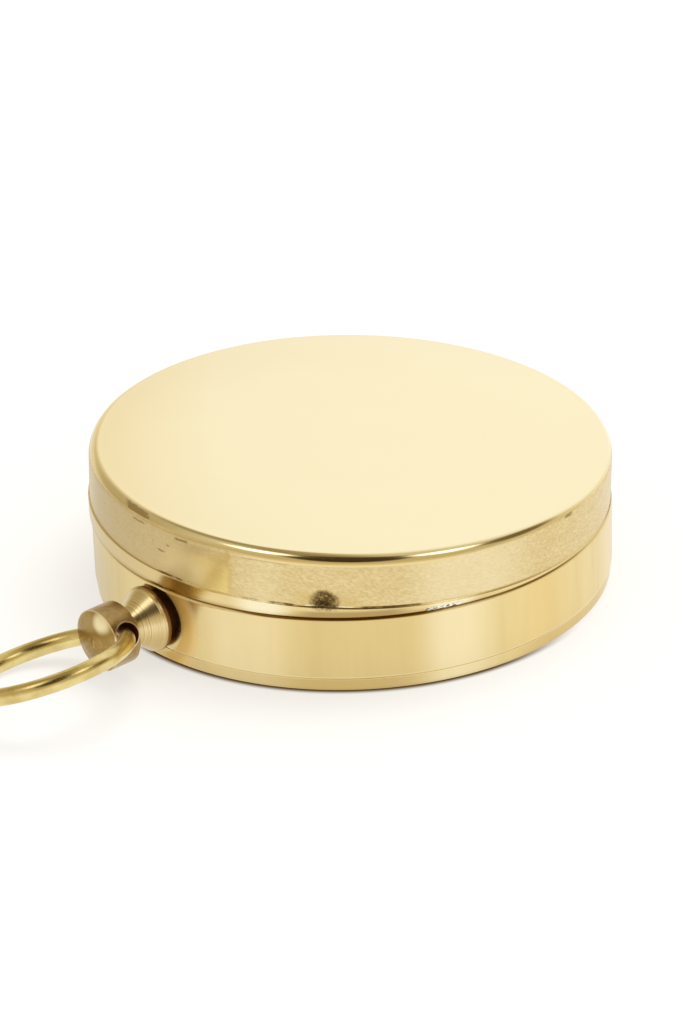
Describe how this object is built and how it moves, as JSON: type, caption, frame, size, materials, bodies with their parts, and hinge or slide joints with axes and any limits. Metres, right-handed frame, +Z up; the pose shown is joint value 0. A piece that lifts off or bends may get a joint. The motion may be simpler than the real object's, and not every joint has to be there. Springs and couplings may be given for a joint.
{
  "type": "magnetic compass",
  "caption": "Round brass pocket compass with a push-on domed lid, a glazed dial and needle, and a cross-drilled bow holding a wire carrying ring.",
  "frame": {"origin": "centre of the foot plate's underside, on the compass's vertical axis, at the height of the table", "axes": "+Z up along the needle's pivot, -Y towards the picture's camera, +X to the right in the picture; the needle points to +Y at rest"},
  "size_m": [0.0938, 0.0881, 0.0227],
  "materials": {
    "turned_brass": "satin, fine lathe lines",
    "cast_brass": "polished dome and roll over an as-cast, grainy band",
    "bow_bronze": "turned, slightly darker",
    "ring_wire": "drawn and polished wire",
    "dark_washer": "dark with tarnish",
    "flat_glass": "clear",
    "dial_enamel": "matt ivory paint",
    "silvered_scale": "frosted silvering",
    "blued_steel": "heat blued, polished",
    "hard_steel": "ground",
    "jewel": "polished stone",
    "gasket_rubber": "matt"
  },
  "bodies": {
    "case": {"base_plate": "turned_brass", "case_ring": "turned_brass", "dial_pillars": "turned_brass", "dial_plate": "dial_enamel", "dial_screws": "blued_steel", "degree_ring": "silvered_scale", "pivot_boss": "turned_brass", "pivot_pin": "hard_steel", "glass": "flat_glass", "glass_gasket": "gasket_rubber", "glass_snap_ring": "turned_brass", "bow_stud": "bow_bronze", "bow_washer": "dark_washer", "bow_spring_washer": "hard_steel", "bow_nut": "turned_brass"},
    "lid": {"lid_shell": "cast_brass"},
    "needle": {"needle_blade": "blued_steel", "needle_cap": "turned_brass", "needle_jewel": "jewel", "needle_collar": "turned_brass", "needle_counterweight": "turned_brass"},
    "ring": {"bow_ring": "ring_wire"}
  },
  "joints": [
    {"name": "lid_lift", "type": "slide", "parent": "case", "child": "lid", "axis": [0, 0, 1], "range_m": [0, 0.03]},
    {"name": "needle_spin", "type": "hinge", "parent": "case", "child": "needle", "pos_m": [0, 0, 0.01245], "axis": [0, 0, 1], "continuous": true},
    {"name": "ring_swing", "type": "hinge", "parent": "case", "child": "ring", "pos_m": [-0.03428, -0.03032, 0.00625], "axis": [-0.555, 0.7589, -0.3407], "range_deg": [-130, 114]}
  ]
}
